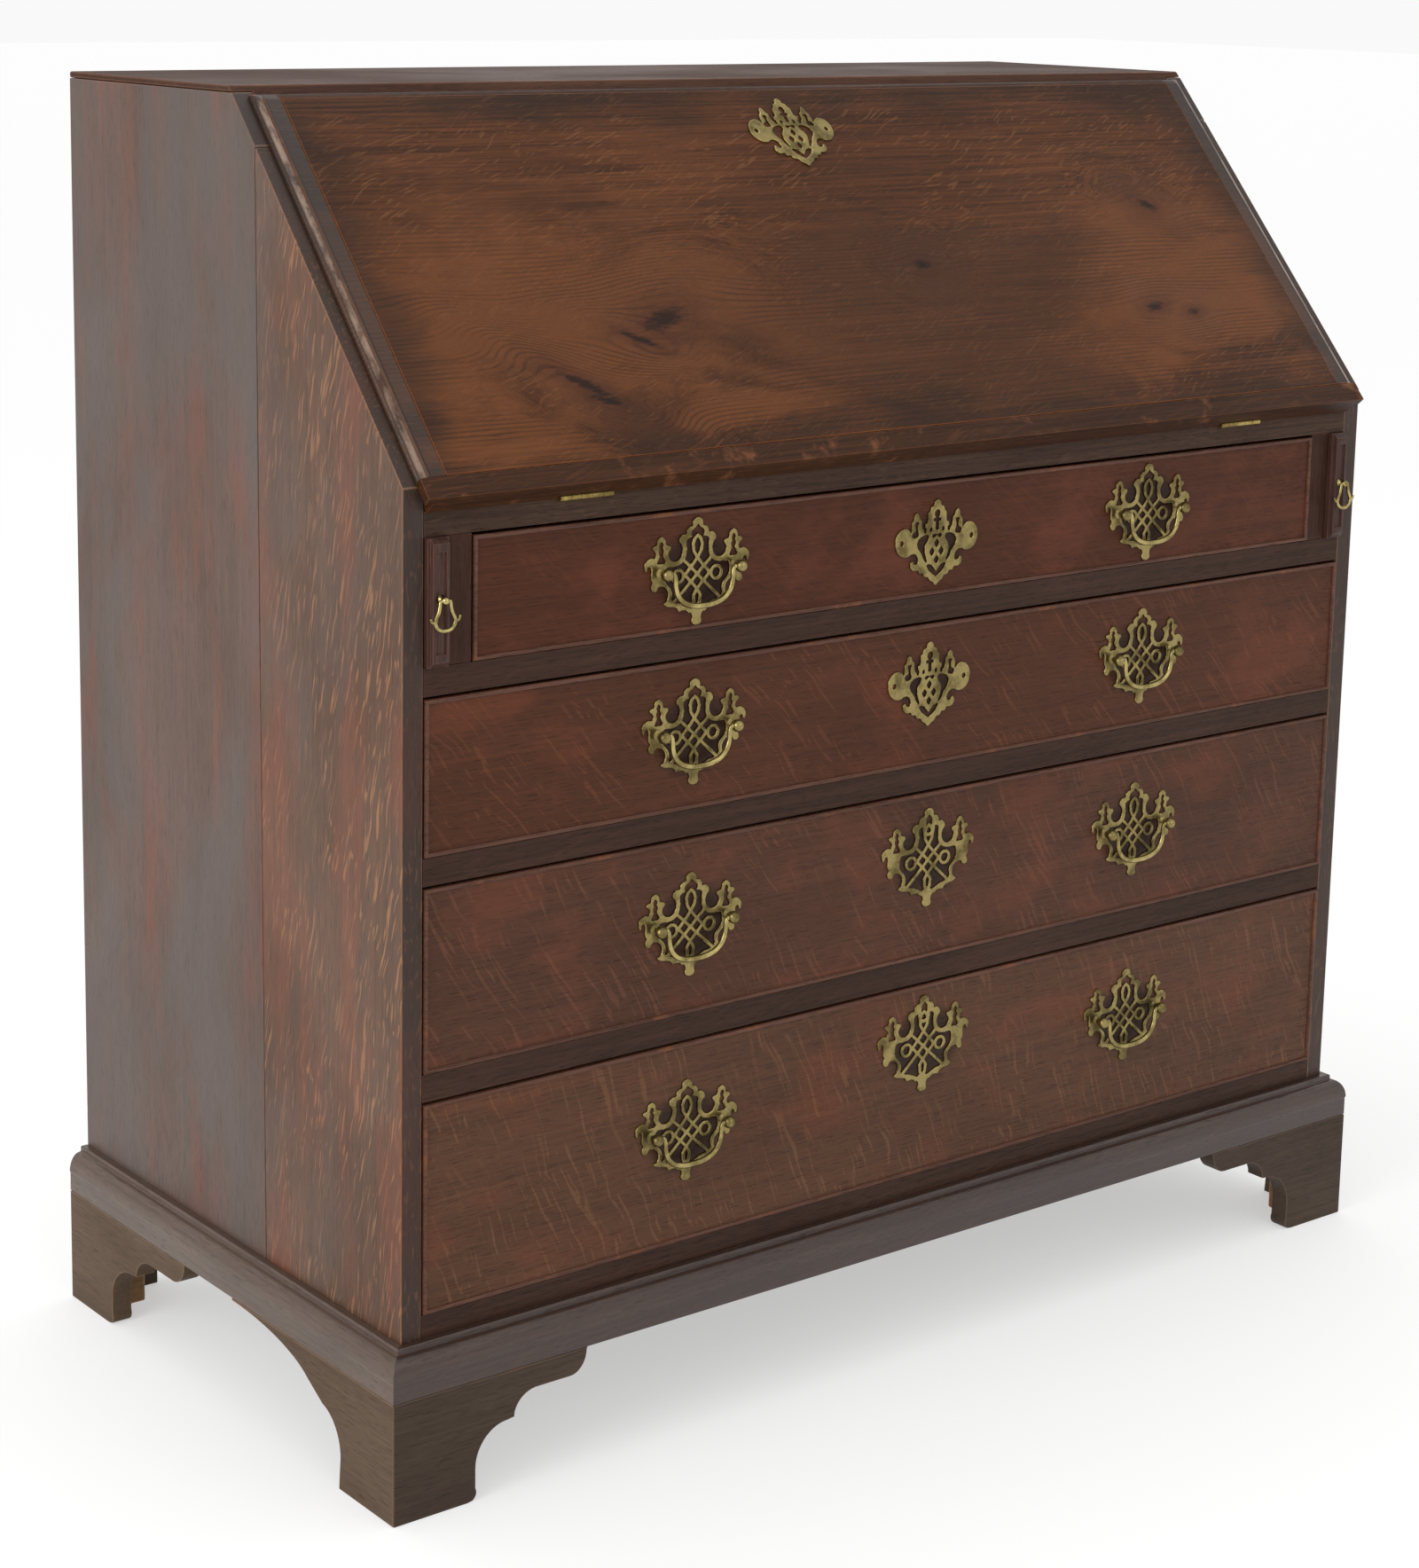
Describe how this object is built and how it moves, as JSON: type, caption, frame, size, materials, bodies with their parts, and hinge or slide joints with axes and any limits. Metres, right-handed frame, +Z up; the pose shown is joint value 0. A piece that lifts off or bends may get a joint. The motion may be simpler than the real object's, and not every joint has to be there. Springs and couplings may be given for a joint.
{
  "type": "secretary desk",
  "caption": "Slant-front oak bureau whose hinged fall opens onto pull-out supports, with graduated drawers below and pigeonholes inside.",
  "frame": {"origin": "on the floor under the middle of the desk's bounding box", "axes": "+X to the desk's right as seen from the front, -Y out of the drawer fronts, +Z up"},
  "size_m": [1.043, 0.5074, 1.04],
  "materials": {
    "oak_case": "dark waxed oak, satin, worn paler on the arrises",
    "oak_fall": "waxed oak with ray flecks, tawny in the middle and dark round the edges, satin",
    "oak_front": "waxed reddish-brown oak, satin",
    "oak_inner": "dry unpolished oak, matt",
    "brass": "aged brass with dark patina in the hollows"
  },
  "bodies": {
    "carcass": {"right_side": "oak_case", "left_side": "oak_case", "top_board": "oak_case", "back_panel": "oak_inner", "bottom_board": "oak_case", "dustboard_lower": "oak_case", "dustboard_middle": "oak_case", "dustboard_upper": "oak_case", "writing_board": "oak_case", "right_loper_partition": "oak_case", "left_loper_partition": "oak_case", "base_moulding": "oak_case", "front_right_foot": "oak_case", "front_left_foot": "oak_case", "rear_right_foot": "oak_case", "rear_left_foot": "oak_case", "pigeonhole_unit": "oak_inner", "left_hinge_board_leaf": "brass", "right_hinge_board_leaf": "brass"},
    "fall": {"fall_panel": "oak_fall", "fall_left_clamp": "oak_fall", "fall_right_clamp": "oak_fall", "fall_bottom_strip": "oak_fall", "fall_escutcheon": "brass", "left_hinge_fall_leaf": "brass", "right_hinge_fall_leaf": "brass"},
    "left_loper": {"left_loper": "oak_case"},
    "left_loper_pull": {"left_loper_pull": "brass"},
    "right_loper": {"right_loper": "oak_case"},
    "right_loper_pull": {"right_loper_pull": "brass"},
    "drawer_1": {"drawer_1_front": "oak_front", "drawer_1_box": "oak_inner", "drawer_1_left_plate": "brass", "drawer_1_right_plate": "brass", "drawer_1_centre_plate": "brass"},
    "drawer_1_left_bail": {"drawer_1_left_bail": "brass"},
    "drawer_1_right_bail": {"drawer_1_right_bail": "brass"},
    "drawer_2": {"drawer_2_front": "oak_front", "drawer_2_box": "oak_inner", "drawer_2_left_plate": "brass", "drawer_2_right_plate": "brass", "drawer_2_centre_plate": "brass"},
    "drawer_2_left_bail": {"drawer_2_left_bail": "brass"},
    "drawer_2_right_bail": {"drawer_2_right_bail": "brass"},
    "drawer_3": {"drawer_3_front": "oak_front", "drawer_3_box": "oak_inner", "drawer_3_left_plate": "brass", "drawer_3_right_plate": "brass", "drawer_3_centre_plate": "brass"},
    "drawer_3_left_bail": {"drawer_3_left_bail": "brass"},
    "drawer_3_right_bail": {"drawer_3_right_bail": "brass"},
    "drawer_4": {"drawer_4_front": "oak_front", "drawer_4_box": "oak_inner", "drawer_4_left_plate": "brass", "drawer_4_right_plate": "brass", "drawer_4_centre_plate": "brass"},
    "drawer_4_left_bail": {"drawer_4_left_bail": "brass"},
    "drawer_4_right_bail": {"drawer_4_right_bail": "brass"},
    "left_letter_drawer": {"left_letter_drawer": "oak_inner"},
    "right_letter_drawer": {"right_letter_drawer": "oak_inner"}
  },
  "joints": [
    {"name": "fall_hinge", "type": "hinge", "parent": "carcass", "child": "fall", "pos_m": [0, -0.23913, 0.7526], "axis": [1, 0, 0], "range_deg": [0, 131.45]},
    {"name": "left_loper_slide", "type": "slide", "parent": "carcass", "child": "left_loper", "axis": [0, -1, 0], "range_m": [0, 0.28]},
    {"name": "left_loper_pull_swing", "type": "hinge", "parent": "left_loper", "child": "left_loper_pull", "pos_m": [-0.476, -0.2492, 0.6903], "axis": [-1, 0, 0], "range_deg": [0, 90]},
    {"name": "right_loper_slide", "type": "slide", "parent": "carcass", "child": "right_loper", "axis": [0, -1, 0], "range_m": [0, 0.28]},
    {"name": "right_loper_pull_swing", "type": "hinge", "parent": "right_loper", "child": "right_loper_pull", "pos_m": [0.476, -0.2492, 0.6903], "axis": [-1, 0, 0], "range_deg": [0, 90]},
    {"name": "drawer_1_slide", "type": "slide", "parent": "carcass", "child": "drawer_1", "axis": [0, -1, 0], "range_m": [0, 0.34]},
    {"name": "drawer_1_left_bail_swing", "type": "hinge", "parent": "drawer_1", "child": "drawer_1_left_bail", "pos_m": [-0.241, -0.2462, 0.6869], "axis": [-1, 0, 0], "range_deg": [0, 90]},
    {"name": "drawer_1_right_bail_swing", "type": "hinge", "parent": "drawer_1", "child": "drawer_1_right_bail", "pos_m": [0.241, -0.2462, 0.6869], "axis": [-1, 0, 0], "range_deg": [0, 90]},
    {"name": "drawer_2_slide", "type": "slide", "parent": "carcass", "child": "drawer_2", "axis": [0, -1, 0], "range_m": [0, 0.34]},
    {"name": "drawer_2_left_bail_swing", "type": "hinge", "parent": "drawer_2", "child": "drawer_2_left_bail", "pos_m": [-0.241, -0.2462, 0.5627], "axis": [-1, 0, 0], "range_deg": [0, 90]},
    {"name": "drawer_2_right_bail_swing", "type": "hinge", "parent": "drawer_2", "child": "drawer_2_right_bail", "pos_m": [0.241, -0.2462, 0.5627], "axis": [-1, 0, 0], "range_deg": [0, 90]},
    {"name": "drawer_3_slide", "type": "slide", "parent": "carcass", "child": "drawer_3", "axis": [0, -1, 0], "range_m": [0, 0.34]},
    {"name": "drawer_3_left_bail_swing", "type": "hinge", "parent": "drawer_3", "child": "drawer_3_left_bail", "pos_m": [-0.241, -0.2462, 0.4106], "axis": [-1, 0, 0], "range_deg": [0, 90]},
    {"name": "drawer_3_right_bail_swing", "type": "hinge", "parent": "drawer_3", "child": "drawer_3_right_bail", "pos_m": [0.241, -0.2462, 0.4106], "axis": [-1, 0, 0], "range_deg": [0, 90]},
    {"name": "drawer_4_slide", "type": "slide", "parent": "carcass", "child": "drawer_4", "axis": [0, -1, 0], "range_m": [0, 0.34]},
    {"name": "drawer_4_left_bail_swing", "type": "hinge", "parent": "drawer_4", "child": "drawer_4_left_bail", "pos_m": [-0.241, -0.2462, 0.2441], "axis": [-1, 0, 0], "range_deg": [0, 90]},
    {"name": "drawer_4_right_bail_swing", "type": "hinge", "parent": "drawer_4", "child": "drawer_4_right_bail", "pos_m": [0.241, -0.2462, 0.2441], "axis": [-1, 0, 0], "range_deg": [0, 90]},
    {"name": "left_letter_drawer_slide", "type": "slide", "parent": "carcass", "child": "left_letter_drawer", "axis": [0, -1, 0], "range_m": [0, 0.12]},
    {"name": "right_letter_drawer_slide", "type": "slide", "parent": "carcass", "child": "right_letter_drawer", "axis": [0, -1, 0], "range_m": [0, 0.12]}
  ]
}
